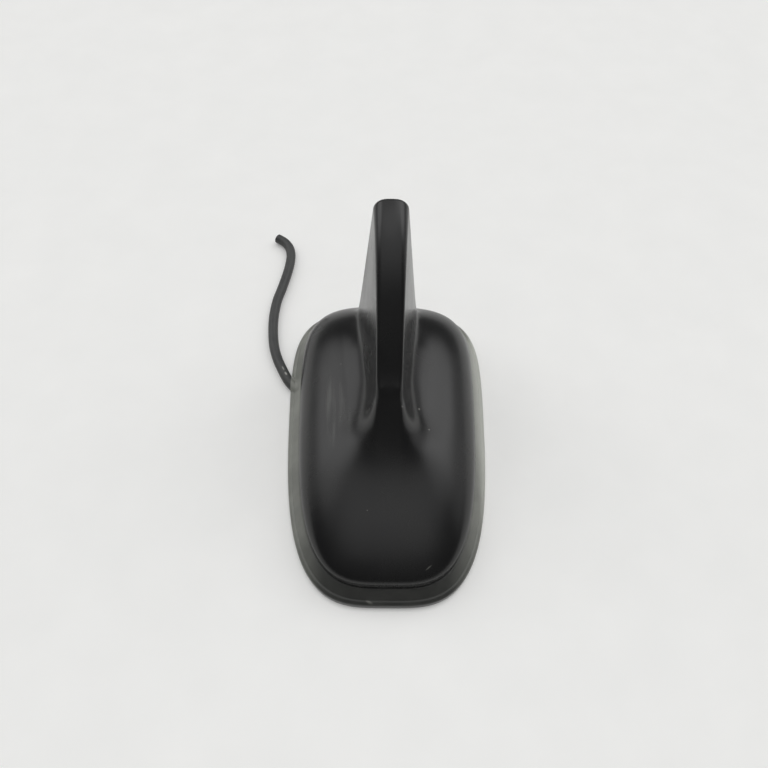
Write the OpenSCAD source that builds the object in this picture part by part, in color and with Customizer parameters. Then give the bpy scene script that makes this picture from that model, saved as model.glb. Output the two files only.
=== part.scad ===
// Vehicle roof antenna: a low dome with a tall thin fin, on a rubber gasket and a cast base plate.
// The nose points along -Y, the fin stands at the back (+Y), and the gasket rests at z = 0.

/* [Housing] */
// Width of the housing at its foot
housing_w = 57.4; // [55:0.2:61]
// Length of the housing at its foot
housing_l = 102.2; // [98:0.2:108]
// How far behind the middle the housing is widest
widest_y = 18; // [14:0.5:22]
// Squareness of the outline, where 2 is an ellipse
outline_power = 3.5; // [3:0.1:4]
// Share of the width that the sides lose towards the nose
nose_taper = 0.055; // [0.03:0.005:0.08]
// Height of the upright skirt at the foot
skirt_h = 2.8; // [2.6:0.1:3.6]
// Height of the dome over the skirt, at the widest place
dome_h = 13.2; // [12.8:0.1:16]
// How much lower the dome is towards the nose
nose_fall = 3; // [1:0.1:3.6]
// How much lower the dome is towards the tail
tail_fall = 4; // [2:0.1:5]
// Thickness of the dome's wall
wall = 2.3; // [1.8:0.1:2.5]

/* [Fin] */
// Height of the fin's tip over the surface below
tip_z = 67.6; // [62:0.2:72]
// Where the leading edge meets the flare at its foot
fin_foot_y = -3.5; // [-5:0.5:-1]
// Back of the fin at its top
fin_back_y = 46.6; // [44:0.2:46.8]
// Height at which the leading edge meets the flare
fin_foot_z = 34.4; // [33:0.2:36]
// Width of the leading edge at its foot
ridge_foot_w = 7.6; // [7.2:0.1:9]
// Width of the leading edge at the tip
ridge_tip_w = 10.7; // [10.4:0.1:12]
// Slope of each flank from upright, in degrees
flank_draft = 5.4; // [4.6:0.2:6]
// Slope of the fin's back from upright, in degrees
back_draft = 3.4; // [3:0.2:4.4]
// Rounding of the leading edge's two sides at its foot
edge_r = 1.3; // [0.8:0.1:1.8]
// Rounding of the leading edge's two sides at the tip
edge_tip_r = 2.2; // [1.4:0.1:2.6]
// Rounding of the tip at its top and back corners
crown_r = 4.7; // [3.4:0.1:4.8]
// Softness of the hollow between fin and dome
fillet = 6; // [3:0.5:8]
// Height of the flare in front of the fin's foot
flare_h = 13.5; // [10:0.5:14]
// Reach of the flare towards the nose
flare_l = 12.5; // [9:0.5:13]
// Half of the flare's width beside the fin's foot
flare_w = 5; // [4:0.2:6]
// Thickness of the fin's wall
fin_wall = 2; // [1.6:0.1:2.3]

/* [Gasket] */
// How far the gasket stands out round the housing
gasket_proud = 4; // [3:0.1:5]
// Height of the ledge that the housing stands on
gasket_h = 5.4; // [5:0.1:6]
// Height of the outer lip's shoulder
lip_h = 2.7; // [2:0.1:3.4]
// Width of the shoulder on top of the lip
shoulder_w = 0.6; // [0.3:0.1:1]
// How far the gasket reaches in under the base plate
gasket_in = 6; // [5.4:0.1:6.2]
// Depth of the hollow under the base plate
recess_h = 4; // [3.9:0.1:4.4]
// Depth of the groove between the two sealing lips
groove_d = 0.8; // [0.4:0.1:1.2]
// Width of each sealing lip at the bottom
seal_lip_w = 3; // [2:0.2:3.8]

/* [Base plate] */
// Thickness of the cast plate
plate_t = 2; // [1.6:0.1:2.4]
// Height of the rib that stands up inside the housing
rib_h = 2.6; // [2.2:0.1:3]
// Thickness of that rib
rib_t = 1.2; // [1:0.1:1.4]
// Thickness of the seal between rib and housing
seal_t = 1; // [0.8:0.1:1.2]
// Height of the seal
seal_h = 2; // [1.4:0.1:2.1]
// Outer radius of the threaded insert
insert_r = 6; // [5.5:0.1:6.5]
// Radius of the threaded hole, for an M8 bolt
thread_r = 3.35; // [3.2:0.05:3.6]
// Length of the threaded insert
insert_l = 6.6; // [5:0.1:6.8]
// Where the insert stands behind the middle
insert_y = 12; // [10:0.5:13]

/* [Circuit boards] */
// Width of the main board
board_w = 30; // [28.4:0.2:30.4]
// Length of the main board
board_l = 75; // [73.5:0.5:76]
// Where the middle of the main board lies
board_y = 4.5; // [4:0.5:5]
// Thickness of the main board
board_t = 1.2; // [1:0.1:1.4]
// Height of the posts that carry the main board
post_h = 2.8; // [2.7:0.1:3.2]
// Edge of the square ceramic patch
patch_w = 25; // [20:0.5:25.5]
// Thickness of the ceramic patch
patch_t = 4; // [3:0.2:4.2]
// How far behind the board's front end the middle of the patch lies
patch_y = 18; // [17:0.5:18.5]
// Thickness of the fin board
fin_board_t = 1; // [0.8:0.1:1.4]

/* [Lead] */
// Diameter of the lead
cord_d = 3.5; // [3:0.1:3.6]

/* [Hidden] */

$fn = 48;

// Clearances, and how far a cutting shape reaches past what it cuts
clear = 0.1;
screw_clear = 0.05;
hole_clear = 0.3;
over = 1;

// Levels, from the floor up
plate_z = recess_h;
plate_top = plate_z + plate_t;
skirt_top = gasket_h + skirt_h;
board_z = plate_top + post_h;
board_top = board_z + board_t;

// Outline of the housing's foot
half_w = housing_w/2;
nose_len = housing_l/2 + widest_y;
tail_len = housing_l/2 - widest_y;

// Roundness of the dome towards its rim, and how much lower it is at its sides
dome_power = 0.625;
dome_crown = 0.12;

// Fin: slope of the leading edge below its foot, and the radius of the columns' first corner there
foot_drop = 3;
foot_r = 3.4;
fin_len = fin_back_y - fin_foot_y;
fin_rise = tip_z - fin_foot_z;
tan_draft = tan(flank_draft);
back_stretch = tan_draft/tan(back_draft);
front_stretch = 0.35;
// Flare: how it widens forwards, how far it reaches back, and what it loses inside
flare_spread = 0.4;
flare_back = 9;
flare_thin = 0.5;
// Wall under the leading edge, and what the corners' rounding loses inside, as shares of the fin's wall
ridge_wall = 1.5;
corner_loss = 0.9;

// Mesh of the housing: columns from the fin's ridge out to the foot, counted from the nose on one side
corner_steps = 6;
side_steps = 30;
back_steps = 2;
half_turn = corner_steps + side_steps + corner_steps + back_steps;
rays = 2*half_turn;
ray_bunching = 14;
rim_bunching = 1.7;
back_bulge = 0.3;
// Places along a column: crown, edge, flank, foot of the fin and dome. The edge's places start inside
// its rounding and end just past it.
edge_share = 0.9;
edge_past = 0.1;
flank_pads = [0.5, 1.2, 2.6];
crown_gaps = [0.2, 1.2];
edge_steps = 5;
flank_steps = 6;
dome_steps = 13;
inner_crown_gaps = [0.1];
inner_edge_steps = 2;
inner_flank_steps = 4;
inner_dome_steps = 7;

// Section of the gasket: how far in from the housing's foot, and the height
tall_in = wall + 0.3;
lip_round = 0.8;
shoulder_fillet = 0.3;
shoulder_z = lip_h + 0.1;
shoulder_end = lip_round + shoulder_w - gasket_proud;
ledge_round = 0.35;
gasket_section = concat(
    [for (a = [0:30:90]) [lip_round*(1 - cos(a)) - gasket_proud, lip_h*sin(a)]],
    [[shoulder_end, shoulder_z],
    [shoulder_end + shoulder_fillet, shoulder_z + shoulder_fillet],
    [-2*ledge_round, gasket_h - ledge_round],
    [-ledge_round, gasket_h],
    [tall_in, gasket_h],
    [tall_in, recess_h],
    [gasket_in, recess_h],
    [gasket_in, 0],
    [gasket_in - seal_lip_w, 0],
    [gasket_in - seal_lip_w - groove_d, groove_d],
    [seal_lip_w + groove_d - gasket_proud, groove_d],
    [seal_lip_w - gasket_proud, 0]]);

// Screws
screw_r = 1;
screw_head_r = 2.1;
screw_head_h = 1.3;
slot_w = 0.7;
slot_l = 2.4;
slot_deep = 0.7;
post_r = 2.5;
boss_r = 2.6;
boss_sides = 20;
// Bosses of the housing: how far in from its side and from its end
boss_nose_in = [10.7, 29.1];
boss_tail_in = [9.1, 20.1];
boss_nose = [half_w - boss_nose_in.x, boss_nose_in.y - housing_l/2];
boss_tail = [half_w - boss_tail_in.x, housing_l/2 - boss_tail_in.y];
screw_grip = 5;
housing_screw_l = plate_t + screw_grip;

// Base plate
plate_in = tall_in + clear;
rib_in = wall + 2*clear + seal_t;
hole_floor = 1;
boss_z = 0.8;
boss_wall = 2;
boss_rise = 2.2;
pegs = [[0, -32], [0, 35]];
peg_r = 2.4;
cast_rib_t = 1.4;
cast_rib_h = 1.5;
// Ribs across the plate: where along it, from where and to where across it
cross_ribs = [[-26, -13, 13], [-12, -13, 13], [insert_y, 0, 16], [27, 0, 15]];

// Main board
board_screw_in = 2.6;
board_corner_r = 2;

// Patch antenna, from the board up
patch_mid = board_y - board_l/2 + patch_y;
tape_t = 0.2;
tape_in = 1;
patch_z = board_top + tape_t;
patch_top = patch_z + patch_t;
patch_corner = 1.5;
electrode_t = 0.1;
electrode_in = 2;
electrode_corner = 2.4;
pin_r = 0.45;
pin_head_r = 1.2;
pin_head_h = 0.3;
pin_below = 1;
foam_w = 14;
foam_h = 1.2;

// Amplifier under the board: the can, and each chip's place, width, length and height
can = [22, 20, 2.3];
can_t = 0.3;
can_gap = 0.855;
chips = [[-8, -6, 3, 3, 1], [-4.6, -6.4, 3.8, 3.8, 1.2], [3, -6, 2, 3, 0.9], [-8, 1.5, 4, 3, 1.1],
    [3.4, 2, 3, 2, 0.8], [7.2, -3, 1.2, 2, 0.7], [-3, 5.4, 2, 1.2, 0.6]];

// Bracket that holds the fin's board
bracket_w = 12;
bracket_y = [3, 35];
bracket_t = 2;
cheek_h = 6;
cheek_t = 1.4;
cheek_in = 2;
web_y = [9, 19, 29];
web_below = 2;
web = [2, 1.2, bracket_t + cheek_h - web_below];
ears = [[-9.6, 7], [9.6, 31]];
ear_r = 3;
arm_w = 3;
slot_half = fin_board_t/2 + clear;

// The fin's board, its radiator, contacts and foam strips
fin_board_in = [10.5, 4.9];
fin_board_y = [fin_foot_y + fin_board_in[0], fin_back_y - fin_board_in[1]];
fin_board_z = board_top + bracket_t;
fin_board_step = 3;
tongue_w = 4.5;
tongue_y = fin_board_y[1] - tongue_w;
tongue_z = board_top + 0.6;
ridge_room = 2.2;
radiator_t = 0.1;
radiator_in = 3;
// Slots of the radiator: the first one's place and length, and the second one's place and end
radiator_slot = 2.5;
front_slot = [22, 8, 24];
back_slot = [30, 30];
contact_in = [0.6, 2.8];
contact_y = [for (d = contact_in) tongue_y + d];
contact_w = 1.2;
contact_t = 0.35;
contact_h = 3.6;
foam_strip = [9, 3];
foam_strip_in = 15.4;
foam_strip_y = fin_back_y - foam_strip_in;
foam_strip_z = 40;

// Lead: where it lies on the surface, from the plug to its cut end
cord_r = cord_d/2;
cord_sides = 8;
cord_route = [[-16, 5], [-20, 9.2], [-24, 13.4], [-28, 17.6], [-32, 21.8], [-34, 24.5],
    [-36, 28.4], [-38.1, 33.2], [-39.8, 39], [-40.7, 46], [-40.9, 53], [-40.3, 60], [-39, 66],
    [-37.8, 72], [-36.9, 78], [-36.7, 83], [-37.5, 87], [-39.6, 90.2], [-42.6, 92.4]];
// Its way out under the gasket, between two points of the straight stretch
outlet_w = cord_d + 0.8;
outlet_from = 1;
outlet_to = 4;

// Right-angle plug on the end of the lead
elbow_r = 2.4;
elbow_z = 0.3;
elbow_seal_t = 0.8;
elbow_seal_z = plate_z + 0.4;
collar_wall = 1.6;
collar_h = 1.4;
elbow_pin_r = 0.5;
elbow_pin_l = 1;
barrel_r = cord_r - clear;
barrel_l = 6;
lead_start = (cord_route[1] - cord_route[0])/norm(cord_route[1] - cord_route[0]);
elbow = cord_route[0] - barrel_l*lead_start;
collar_r = elbow_r + elbow_seal_t + collar_wall;
can_y = elbow.y - collar_r - can_gap - can.y/2;

function clamp(v, lo, hi) = min(max(v, lo), hi);
function mix(a, b, t) = a + (b - a)*t;
function power(v, e) = pow(abs(v), e);

// Larger of two heights, with a soft hollow where they meet
function soft_max(a, b, k) = (a + b + sqrt((a - b)*(a - b) + k*k))/2;

// Outline

// Share of the full width left at y
function taper_at(y) = 1 - nose_taper*max(0, widest_y - y)/nose_len;

// How far along the half of the outline a place lies, 1 being its end, with the outline drawn in by s
function along(y, s) = y < widest_y ? (widest_y - y)/(nose_len - s) : (y - widest_y)/(tail_len - s);

// Point where the ray in direction d crosses the outline drawn in by s
function outline_point(d, s) =
    let (reach_y = (d.y < 0 ? nose_len : tail_len) - s)
    let (sum = power(d.x/(half_w - s), outline_power) + power(d.y/reach_y, outline_power))
    let (r = 1/pow(sum, 1/outline_power))
    let (y = widest_y + r*d.y)
    [r*d.x*taper_at(y), y];

// Direction of column i, counted from the nose, with the columns closer together at nose and tail
function heading(i) = let (t = 360*i/rays) t - ray_bunching*sin(2*t);
function ray(i) = [sin(heading(i)), -cos(heading(i))];
function outline(s) = [for (i = [0:rays - 1]) outline_point(ray(i), s)];

// Height of the housing's skin, drawn in by s

// Flare in front of the fin's foot, like the bell of a trumpet: it fades forwards, backwards and sideways
function flare_z(p, s) =
    let (front = max(0, fin_foot_y - p.y))
    let (behind = max(0, p.y - fin_foot_y))
    let (half = flare_w + flare_spread*front)
    (flare_h - flare_thin*s)*exp(-pow(front/flare_l, 1.5) - pow(behind/flare_back, 2) - pow(p.x/half, 2));

function dome_z(p, s) =
    let (across = abs(p.x)/((half_w - s)*taper_at(p.y)))
    let (left = 1 - power(across, outline_power) - power(along(p.y, s), outline_power))
    let (fall = (p.y < widest_y ? nose_fall : tail_fall)*pow(along(p.y, 0), 2))
    let (h = (dome_h - s - fall)*(1 - dome_crown*across*across))
    skirt_top + h*pow(max(0, left), dome_power) + flare_z(p, s);

// The leading edge: a parabola that is level at the tip and drops into the flare at its foot
function ridge_t(y) = (y - fin_foot_y)/fin_len;
function ridge_z(y) = let (t = min(1, ridge_t(y)))
    fin_foot_z + (t < 0 ? foot_drop*(y - fin_foot_y) : fin_rise*(1 - (1 - t)*(1 - t)));
function ridge_half(y) = mix(ridge_foot_w, ridge_tip_w, pow(clamp(ridge_t(y), 0, 1), 2))/2;

// Fall of a rounded edge of radius r, q past the place where its rounding starts
function edge_fall(q, r) = q <= 0 ? 0
    : q < r*cos(flank_draft) ? r - sqrt(r*r - q*q)
    : r*(1 - sin(flank_draft)) + (q - r*cos(flank_draft))/tan_draft;

// Radius of the loop's corners in plan, drawn in by s
function corner_r(s) = crown_r - corner_loss*s;
function side_gap(p, s) = max(0, abs(p.x) - (ridge_half(p.y) - s - corner_r(s)));
function back_gap(p, s) = max(0, p.y - (fin_back_y - s - corner_r(s)))*back_stretch;

function fin_z(p, s) =
    let (gx = side_gap(p, s))
    let (gy = back_gap(p, s))
    let (g = norm([gx, gy]))
    let (edge = mix(edge_r, edge_tip_r, pow(clamp(ridge_t(p.y), 0, 1), 2)))
    let (r = mix(edge, corner_r(s), g == 0 ? 0 : gy*gy/(g*g)))
    let (q = g - corner_r(s) + r*tan(45 - flank_draft/2))
    ridge_z(p.y) - ridge_wall*s - edge_fall(q, r);

function skin_z(p, s) = soft_max(dome_z(p, s), fin_z(p, s*fin_wall/wall), fillet - s);

// Loops round the ridge in plan. Each column starts at an anchor inside the ridge and runs outwards:
// round the front, along the side, round the back corner and along the back.
function anchor_share(i) = clamp((i - corner_steps)/side_steps, 0, 1);
function loop_r(i, s) = mix(foot_r, crown_r, pow(anchor_share(i), 2)) - corner_loss*s;
function edge_at(i) = mix(edge_r, edge_tip_r, pow(anchor_share(i), 2));
function anchor_y(i, s) =
    let (front = fin_foot_y + s + loop_r(0, s))
    let (back = fin_back_y - s - corner_r(s))
    mix(front, back, anchor_share(i)) + back_bulge*(1 - anchor_across(i));
function anchor_across(i) = clamp((half_turn - i)/back_steps, 0, 1);
function anchor_x(i, s) = i == 0 ? 0
    : anchor_across(i)*(ridge_half(anchor_y(i, s)) - s - loop_r(i, s));
function anchor_turn(i) = i <= corner_steps ? 90*i/corner_steps
    : 90 + 90*clamp((i - corner_steps - side_steps)/corner_steps, 0, 1);

// Point of column i that lies gap outside the ridge's edge
function loop_point(i, s, gap) =
    let (a = anchor_turn(i))
    let (out = gap + loop_r(i, s))
    let (stretch = a < 90 ? front_stretch : back_stretch)
    [anchor_x(i, s) + out*sin(a), anchor_y(i, s) - out*cos(a)/stretch];

// Heights and places of one column on the right-hand side, from the ridge to the foot of the housing
function half_column(i, s, crowns, edges, flanks, domes) =
    let (wall_s = s*fin_wall/wall)
    let (height = max(0, ridge_z(anchor_y(i, wall_s)) - skirt_top - dome_h))
    let (foot_gap = tan_draft*height)
    let (foot = loop_point(i, wall_s, foot_gap + flank_pads[2]))
    let (rim = outline_point(ray(i), s))
    let (places = concat(
        [for (g = crowns) loop_point(i, wall_s, g - loop_r(i, wall_s))],
        [for (j = [0:edges]) loop_point(i, wall_s, mix(-edge_share*edge_at(i), edge_past, j/edges))],
        [for (j = [1:flanks]) loop_point(i, wall_s, mix(edge_past, foot_gap, j/flanks))],
        [for (pad = flank_pads) loop_point(i, wall_s, foot_gap + pad)],
        [for (j = [1:domes - 1]) mix(foot, rim, 1 - pow(1 - j/domes, rim_bunching))]))
    concat(
        [for (p = places) [p.x, p.y, skin_z(p, s)]],
        [[rim.x, rim.y, skirt_top], [rim.x, rim.y, gasket_h]]);

// Column i of the whole turn: the left-hand side mirrors the right
function column(i, s, crowns, edges, flanks, domes) =
    let (k = i <= half_turn ? i : rays - i)
    let (points = half_column(k, s, crowns, edges, flanks, domes))
    i <= half_turn ? points : [for (p = points) [-p.x, p.y, p.z]];

function reversed(list) = [for (i = [len(list) - 1:-1:0]) list[i]];

// Triangles between n columns of m points each, columns closing into a ring
function column_faces(n, m) = [for (i = [0:n - 1], j = [0:m - 2])
    let (a = i*m + j)
    let (b = ((i + 1) % n)*m + j)
    each [[a, b, b + 1], [a, b + 1, a + 1]]];

// Triangles across the ridge, between the right and the left ends of the columns
function ridge_faces(m, j, up) = [for (i = [0:half_turn - 1])
    let (a = i*m + j)
    let (b = a + m)
    let (c = ((rays - i - 1) % rays)*m + j)
    let (d = ((rays - i) % rays)*m + j)
    let (t = concat(i < half_turn - 1 ? [[a, c, b]] : [], i > 0 ? [[a, d, c]] : []))
    each up ? t : [for (f = t) reversed(f)]];

// Skin of the housing, outside and inside, closed under its rim and across the ridge
module housing_skin() {
    columns = [for (i = [0:rays - 1]) concat(
        column(i, 0, crown_gaps, edge_steps, flank_steps, dome_steps),
        reversed(column(i, wall,
            inner_crown_gaps, inner_edge_steps, inner_flank_steps, inner_dome_steps)))];
    m = len(columns[0]);
    polyhedron([for (c = columns) each c],
        concat(column_faces(rays, m), ridge_faces(m, 0, true), ridge_faces(m, m - 1, false)));
}

// Solid posts of the screw bosses, whose tops follow the middle of the dome's wall
module boss_post() {
    for (side = [-1, 1], c = [boss_nose, boss_tail]) {
        ring = [for (k = [0:boss_sides - 1]) boss_r*[cos(360*k/boss_sides), sin(360*k/boss_sides)]];
        low = [for (p = ring) [side*c.x + p.x, c.y + p.y, plate_top]];
        top = [for (p = ring) let (q = [side*c.x + p.x, c.y + p.y]) [q.x, q.y, skin_z(q, wall/2)]];
        mid = [[side*c.x, c.y, skin_z([side*c.x, c.y], wall/2)]];
        n = boss_sides;
        sides = [for (k = [0:n - 1]) let (l = (k + 1) % n)
            each [[k, n + k, n + l], [k, n + l, l], [n + k, 2*n, n + l]]];
        polyhedron(concat(low, top, mid), concat(sides, [[for (k = [0:n - 1]) k]]));
    }
}

module housing() {
    color("#26272a")
    difference() {
        union() {
            housing_skin();
            boss_post();
        }
        at_bosses()
            translate([0, 0, plate_top - over])
            cylinder(h = screw_grip + 2*over, r = screw_r + screw_clear);
    }
}

module gasket_ring() {
    n = len(gasket_section);
    columns = [for (i = [0:rays - 1])
        [for (q = gasket_section)
            let (p = outline_point(ray(i), q.x))
            [p.x, p.y, q.y]]];
    faces = [for (i = [0:rays - 1], j = [0:n - 1])
        let (a = i*n + j)
        let (b = ((i + 1) % rays)*n + j)
        let (c = ((i + 1) % rays)*n + (j + 1) % n)
        let (d = i*n + (j + 1) % n)
        each [[a, c, b], [a, d, c]]];
    polyhedron([for (c = columns) each c], faces);
}

// Way out for the lead under the gasket's side, straight and open at the bottom
module lead_outlet() {
    from = cord_route[outlet_from];
    run = cord_route[outlet_to] - from;
    length = norm(run) + outlet_w;
    translate([from.x, from.y, 0])
    rotate([0, 0, atan2(run.y, run.x)]) {
        translate([0, -outlet_w/2, -over]) cube([length, outlet_w, cord_r + over]);
        translate([0, 0, cord_r]) rotate([0, 90, 0]) cylinder(h = length, r = outlet_w/2);
    }
}

module gasket() {
    color("#1b1b1c")
    difference() {
        gasket_ring();
        lead_outlet();
    }
}

// Solid with the plan outline drawn in by s, between two heights
module slab(s, z0, z1) {
    translate([0, 0, z0])
    linear_extrude(z1 - z0)
    polygon(outline(s));
}

// Upright ring between two outlines
module upright_ring(s_out, s_in, z0, z1) {
    translate([0, 0, z0])
    linear_extrude(z1 - z0)
    difference() {
        polygon(outline(s_out));
        polygon(outline(s_in));
    }
}

module at_board_corners() {
    for (x = [-1, 1], y = [-1, 1])
        translate([x*(board_w/2 - board_screw_in), board_y + y*(board_l/2 - board_screw_in), 0])
        children();
}

module at_bosses() {
    for (side = [-1, 1], p = [boss_nose, boss_tail])
        translate([side*p.x, p.y, 0])
        children();
}

module at_ears() {
    for (p = ears)
        translate([p.x, p.y, 0])
        children();
}

// Pilot hole of a screw in a post of the plate
module pilot_hole() {
    translate([0, 0, plate_z + hole_floor]) cylinder(h = post_h + plate_t, r = screw_r + screw_clear);
}

module base_plate() {
    color("#a9acae")
    difference() {
        union() {
            slab(plate_in, plate_z, plate_top);
            upright_ring(rib_in, rib_in + rib_t, plate_top, plate_top + rib_h);
            at_board_corners() translate([0, 0, plate_top]) cylinder(h = post_h, r = post_r);
            at_ears() translate([0, 0, plate_top]) cylinder(h = post_h, r = post_r);
            translate([0, insert_y, boss_z])
                cylinder(h = plate_top + boss_rise - boss_z, r = insert_r + boss_wall);
            translate([elbow.x, elbow.y, plate_z])
                cylinder(h = plate_t + collar_h, r = collar_r);
            locating_pegs();
            cast_ribs();
        }
        at_board_corners() pilot_hole();
        at_ears() pilot_hole();
        at_bosses()
            translate([0, 0, plate_z - over])
            cylinder(h = plate_t + 2*over, r = screw_r + hole_clear);
        translate([0, insert_y, boss_z - over])
            cylinder(h = insert_l + over, r = insert_r + screw_clear);
        translate([elbow.x, elbow.y, plate_z - over])
            cylinder(h = plate_t + collar_h + 2*over, r = elbow_r + elbow_seal_t);
    }
}

module locating_pegs() {
    for (p = pegs)
        translate([p.x, p.y, boss_z])
        cylinder(h = plate_z - boss_z, r = peg_r);
}

// Stiffening ribs under the plate, clear of the lead and of the screws
module cast_ribs() {
    z = plate_z - cast_rib_h;
    translate([-cast_rib_t/2, pegs[0].y, z])
    cube([cast_rib_t, pegs[1].y - pegs[0].y, cast_rib_h]);
    for (rib = cross_ribs)
        translate([rib[1], rib[0] - cast_rib_t/2, z])
        cube([rib[2] - rib[1], cast_rib_t, cast_rib_h]);
}

module threaded_insert() {
    color("#c9a646")
    translate([0, insert_y, boss_z])
    difference() {
        cylinder(h = insert_l, r = insert_r);
        translate([0, 0, -over]) cylinder(h = insert_l, r = thread_r);
    }
}

module inner_seal() {
    color("#3a3a3c")
    upright_ring(wall + clear, wall + clear + seal_t, plate_top, plate_top + seal_h);
}

// Flat-topped screw with a cross slot, head down at z = 0 and shank upwards
module screw(shank_l) {
    difference() {
        union() {
            translate([0, 0, -screw_head_h]) cylinder(h = screw_head_h, r = screw_head_r);
            cylinder(h = shank_l, r = screw_r);
        }
        for (a = [0, 90])
            rotate([0, 0, a])
            translate([-slot_l/2, -slot_w/2, -screw_head_h - over])
            cube([slot_l, slot_w, slot_deep + over]);
    }
}

module board_blank() {
    translate([0, board_y, board_z])
    linear_extrude(board_t)
    union() {
        square([board_w, board_l - 2*board_corner_r], center = true);
        square([board_w - 2*board_corner_r, board_l], center = true);
        for (x = [-1, 1], y = [-1, 1])
            translate([x*(board_w/2 - board_corner_r), y*(board_l/2 - board_corner_r)])
            circle(r = board_corner_r);
    }
}

// Hole through the main board
module board_hole(r) {
    translate([0, 0, board_z - over]) cylinder(h = board_t + 2*over, r = r);
}

module main_board() {
    color("#2f6b3c")
    difference() {
        board_blank();
        at_board_corners() board_hole(screw_r + hole_clear);
        at_ears() board_hole(screw_r + hole_clear);
        at_bosses() board_hole(boss_r + clear);
        translate([0, patch_mid, 0]) board_hole(pin_r + clear);
    }
}

module board_screws() {
    color("#b9bcc0")
    at_board_corners() translate([0, 0, board_top]) rotate([180, 0, 0]) screw(board_t + post_h);
}

module housing_screws() {
    color("#b9bcc0")
    at_bosses() translate([0, 0, plate_z]) screw(housing_screw_l);
}

module patch_tape() {
    color("#d9d2b8")
    translate([0, patch_mid, board_top])
    difference() {
        translate([tape_in - patch_w/2, tape_in - patch_w/2, 0])
            cube([patch_w - 2*tape_in, patch_w - 2*tape_in, tape_t]);
        translate([0, 0, -over]) cylinder(h = tape_t + 2*over, r = pin_r + clear);
    }
}

// Square ceramic block with its corners cut off and a hole for the feed pin
module ceramic_patch() {
    cut = patch_corner;
    h = patch_w/2;
    color("#c8bfae")
    translate([0, patch_mid, patch_z])
    difference() {
        linear_extrude(patch_t)
        polygon([[h - cut, -h], [h, -h + cut], [h, h - cut], [h - cut, h],
            [-h + cut, h], [-h, h - cut], [-h, -h + cut], [-h + cut, -h]]);
        translate([0, 0, -over]) cylinder(h = patch_t + 2*over, r = pin_r + clear);
    }
}

// Silver plane with two cut corners, which make it answer to turning waves
module patch_electrode() {
    h = patch_w/2 - electrode_in;
    cut = electrode_corner;
    color("#d5d6d4")
    translate([0, patch_mid, patch_top])
    linear_extrude(electrode_t)
    difference() {
        polygon([[h, -h], [h, h - cut], [h - cut, h], [-h, h], [-h, -h + cut], [-h + cut, -h]]);
        circle(r = pin_r + clear);
    }
}

module feed_pin() {
    color("#c9c2a8")
    translate([0, patch_mid, 0]) {
        translate([0, 0, board_z - pin_below])
            cylinder(h = patch_top + electrode_t - board_z + pin_below, r = pin_r);
        translate([0, 0, patch_top + electrode_t]) cylinder(h = pin_head_h, r = pin_head_r);
    }
}

module foam_pad() {
    color("#4a4a4d")
    translate([-foam_w/2, patch_mid - foam_w/2, patch_top + electrode_t])
    difference() {
        cube([foam_w, foam_w, foam_h]);
        translate([foam_w/2, foam_w/2, -over]) cylinder(h = foam_h + 2*over, r = pin_head_r + hole_clear);
    }
}

// Thin metal box, open towards the board that it is soldered under
module shield_can() {
    color("#bfc3c4")
    translate([-can.x/2, can_y - can.y/2, board_z - can.z])
    difference() {
        cube(can);
        translate([can_t, can_t, can_t]) cube([can.x - 2*can_t, can.y - 2*can_t, can.z]);
    }
}

module amplifier_chips() {
    color("#2b2b2d")
    for (c = chips)
        translate([c[0], can_y + c[1], board_z - c[4]])
        cube([c[2], c[3], c[4]]);
}

module fin_bracket() {
    len_y = bracket_y[1] - bracket_y[0];
    color("#55585c")
    translate([0, 0, board_top])
    difference() {
        union() {
            translate([-bracket_w/2, bracket_y[0], 0]) cube([bracket_w, len_y, bracket_t]);
            for (side = [-1, 1]) {
                translate([side*(slot_half + cheek_t/2) - cheek_t/2, bracket_y[0] + cheek_in, 0])
                    cube([cheek_t, len_y - 2*cheek_in, bracket_t + cheek_h]);
                for (y = web_y)
                    translate([side*(slot_half + cheek_t + web.x/2 - clear) - web.x/2, y - web.y/2, 0])
                    cube(web);
            }
            at_ears() cylinder(h = bracket_t, r = ear_r);
            for (p = ears)
                translate([min(p.x, 0), p.y - arm_w/2, 0])
                cube([abs(p.x), arm_w, bracket_t]);
        }
        at_ears() translate([0, 0, -over]) cylinder(h = bracket_t + 2*over, r = screw_r + hole_clear);
    }
}

module bracket_screws() {
    color("#b9bcc0")
    at_ears()
        translate([0, 0, board_top + bracket_t])
        rotate([180, 0, 0])
        screw(bracket_t + board_t + post_h);
}

// Height of the room inside the fin over a place on its middle plane
function fin_room_z(y) = skin_z([0, y], wall) - ridge_room;

// Outline of the fin board, y and z, under the leading edge's inside
function fin_board_outline(inset) =
    let (front = fin_board_y[0] + inset)
    let (back = fin_board_y[1] - inset)
    let (top_y = [for (y = [front:fin_board_step:back]) y])
    concat(
        [[back, fin_board_z + inset], [back, fin_room_z(fin_board_y[1]) - inset]],
        [for (y = reversed(top_y)) [y, fin_room_z(y) - ridge_wall*inset]],
        [[front, fin_board_z + inset]]);

// Upright plate in the fin's middle plane from an outline in y and z
module upright_plate(points, x0, t) {
    translate([x0, 0, 0])
    rotate([90, 0, 90])
    linear_extrude(t)
    polygon(points);
}

module fin_board() {
    color("#2f6b3c")
    upright_plate(concat(
        [[tongue_y, fin_board_z], [tongue_y, tongue_z], [fin_board_y[1], tongue_z]],
        fin_board_outline(0)), -fin_board_t/2, fin_board_t);
}

// Copper plane of the phone antenna, with two slots that make it a bent arm
module fin_radiator() {
    color("#c07a45")
    difference() {
        upright_plate(fin_board_outline(radiator_in), fin_board_t/2, radiator_t);
        translate([0, front_slot.x, fin_board_z + front_slot.y])
            cube([over, radiator_slot, front_slot.z]);
        translate([0, back_slot.x, 0]) cube([over, radiator_slot, fin_board_z + back_slot.y]);
    }
}

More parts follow.
